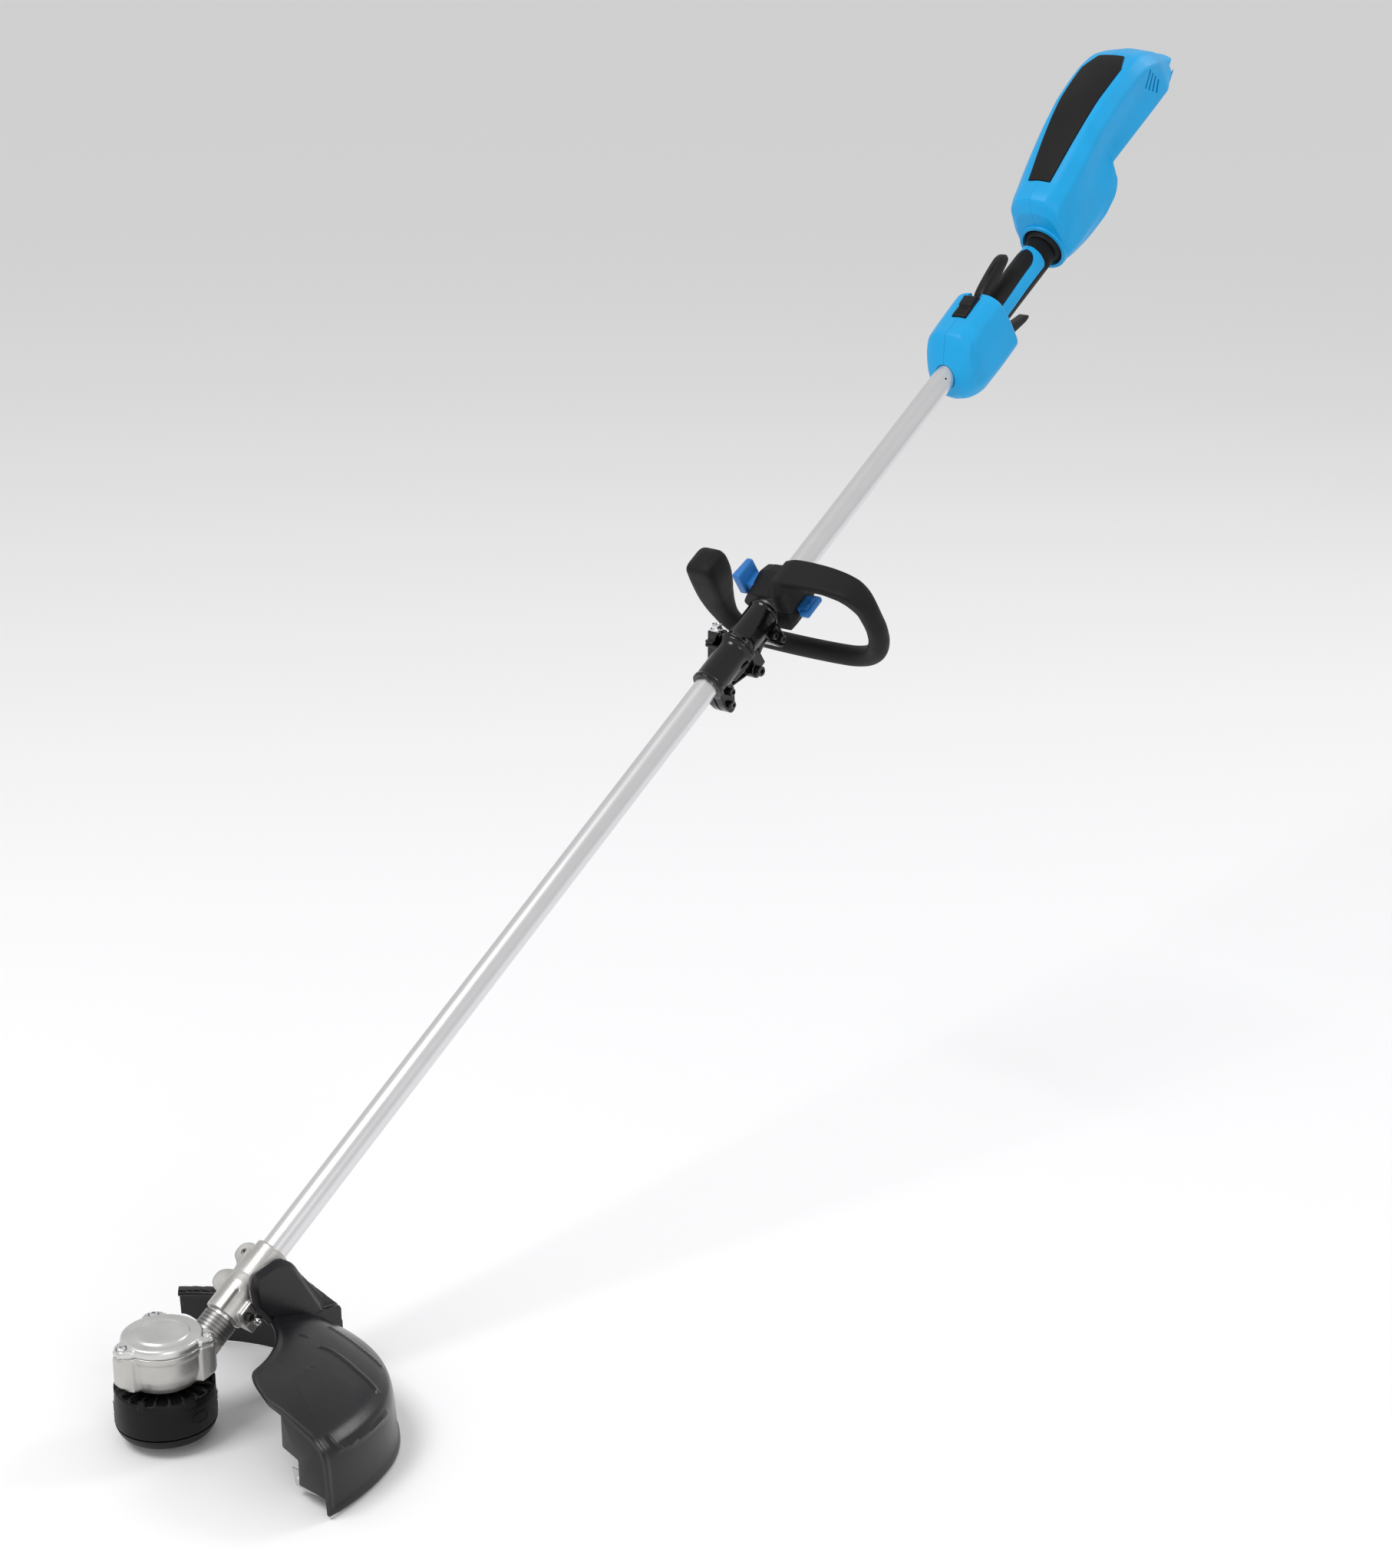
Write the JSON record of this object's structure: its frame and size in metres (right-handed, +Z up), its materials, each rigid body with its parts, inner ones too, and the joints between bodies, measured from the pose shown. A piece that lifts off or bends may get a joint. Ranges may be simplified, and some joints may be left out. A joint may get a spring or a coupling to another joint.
{
  "type": "string trimmer",
  "caption": "Battery string trimmer: motor in the cutting head, line guard, folding alloy shaft with loop handle, trigger grip and a rear housing with battery dock.",
  "frame": {"origin": "on the shaft axis, at the middle of the rear grip where the user's right hand holds the tool", "axes": "+Z up with the tool in its working pose, so the cutting head's axis is along Z; the shaft rises 34.53 degrees towards +X, the user's end; +Y is the user's right"},
  "size_m": [1.5434, 0.3388, 1.1449],
  "materials": {
    "housing_blue": "moulded, fine satin grain, slightly glossy",
    "tab_blue": "moulded, smooth",
    "grip_black": "soft matte overmould",
    "plastic_black": "moulded, matte",
    "guard_black": "moulded, semi-gloss",
    "coupler_black": "gloss black enamel over cast aluminium",
    "tube_anodised": "satin clear anodised",
    "casting": "die cast, lightly blasted",
    "zinc": "bright zinc plate",
    "steel": "ground steel",
    "black_steel": "black oxide",
    "copper_wound": "enamelled winding and laminations",
    "line_nylon": "extruded nylon line",
    "board_green": "coated circuit board"
  },
  "bodies": {
    "rear_unit": {"coupler_upper": "coupler_black", "hinge_pin": "black_steel", "clamp_bolt": "zinc", "clamp_screw_3": "black_steel", "clamp_screw_4": "black_steel", "upper_tube": "tube_anodised", "wire_harness_upper": "plastic_black", "handle_shell_left": "housing_blue", "handle_shell_right": "housing_blue", "lock_off_pin": "steel", "trigger_pin": "steel", "microswitch": "plastic_black", "grip_inlay": "grip_black", "grip_lower": "grip_black", "throat_collar": "grip_black", "rear_housing_left": "housing_blue", "rear_housing_right": "housing_blue", "top_pad": "grip_black", "dock_plate": "plastic_black", "battery_terminal_block": "plastic_black", "control_board": "board_green"},
    "lower_shaft": {"coupler_lower": "coupler_black", "clamp_screw_1": "black_steel", "clamp_screw_2": "black_steel", "lower_tube": "tube_anodised", "wire_harness_lower": "plastic_black", "guard_bracket": "casting", "bracket_clamp_screw": "black_steel", "guard_screw": "zinc", "guard_shell": "guard_black", "line_cutter_blade": "black_steel", "cutter_screw_1": "zinc", "cutter_screw_2": "zinc", "motor_housing": "casting", "motor_cover": "casting", "cover_screw_1": "zinc", "cover_screw_2": "zinc", "cover_screw_3": "zinc", "stator": "copper_wound", "bearing_lower": "steel", "bearing_upper": "steel"},
    "rotor_head": {"rotor": "steel", "spindle": "steel", "head_housing": "plastic_black", "head_cover": "plastic_black", "line_eyelet_1": "zinc", "line_eyelet_2": "zinc", "feed_spring": "steel"},
    "spool_knob": {"spool": "plastic_black", "wound_line": "line_nylon", "bump_knob": "plastic_black"},
    "loop_handle_unit": {"loop_handle": "grip_black", "handle_clamp": "plastic_black"},
    "tab_upper": {"release_tab_upper": "tab_blue"},
    "tab_lower": {"release_tab_lower": "tab_blue"},
    "trigger_body": {"trigger": "plastic_black"},
    "lock_off_body": {"lock_off_lever": "plastic_black"},
    "rocker_body": {"power_switch": "plastic_black"}
  },
  "joints": [
    {"name": "shaft_fold", "type": "hinge", "parent": "rear_unit", "child": "lower_shaft", "pos_m": [-0.45479, 0, -0.34812], "axis": [0, -1, 0], "range_deg": [0, 130]},
    {"name": "head_spin", "type": "hinge", "parent": "lower_shaft", "child": "rotor_head", "pos_m": [-1.24151, 0, -0.85422], "axis": [0, 0, 1], "continuous": true},
    {"name": "bump_feed", "type": "slide", "parent": "rotor_head", "child": "spool_knob", "axis": [0, 0, 1], "range_m": [0, 0.004], "stiffness_N_per_m": 1500, "springref_m": -0.003, "deforming": ["feed_spring"]},
    {"name": "handle_slide", "type": "slide", "parent": "rear_unit", "child": "loop_handle_unit", "axis": [0.8238, 0, 0.5668], "range_m": [0, 0.12]},
    {"name": "upper_tab_press", "type": "slide", "parent": "loop_handle_unit", "child": "tab_upper", "axis": [0, -1, 0], "range_m": [0, 0.003], "stiffness_N_per_m": 800, "springref_m": -0.001},
    {"name": "lower_tab_press", "type": "slide", "parent": "loop_handle_unit", "child": "tab_lower", "axis": [0, 1, 0], "range_m": [0, 0.003], "stiffness_N_per_m": 800, "springref_m": -0.001},
    {"name": "trigger_pull", "type": "hinge", "parent": "rear_unit", "child": "trigger_body", "pos_m": [-0.04716, 0, -0.05672], "axis": [0, -1, 0], "range_deg": [0, 12], "stiffness_Nm_per_rad": 0.6, "springref_deg": -5.73},
    {"name": "lock_off_press", "type": "hinge", "parent": "rear_unit", "child": "lock_off_body", "pos_m": [-0.07158, 0, -0.01769], "axis": [0, 1, 0], "range_deg": [0, 7], "stiffness_Nm_per_rad": 0.8, "springref_deg": -5.73},
    {"name": "power_rocker", "type": "hinge", "parent": "rear_unit", "child": "rocker_body", "pos_m": [-0.08935, 0, -0.01657], "axis": [0, 1, 0], "range_deg": [0, 4], "stiffness_Nm_per_rad": 0.5, "springref_deg": -1.15}
  ]
}
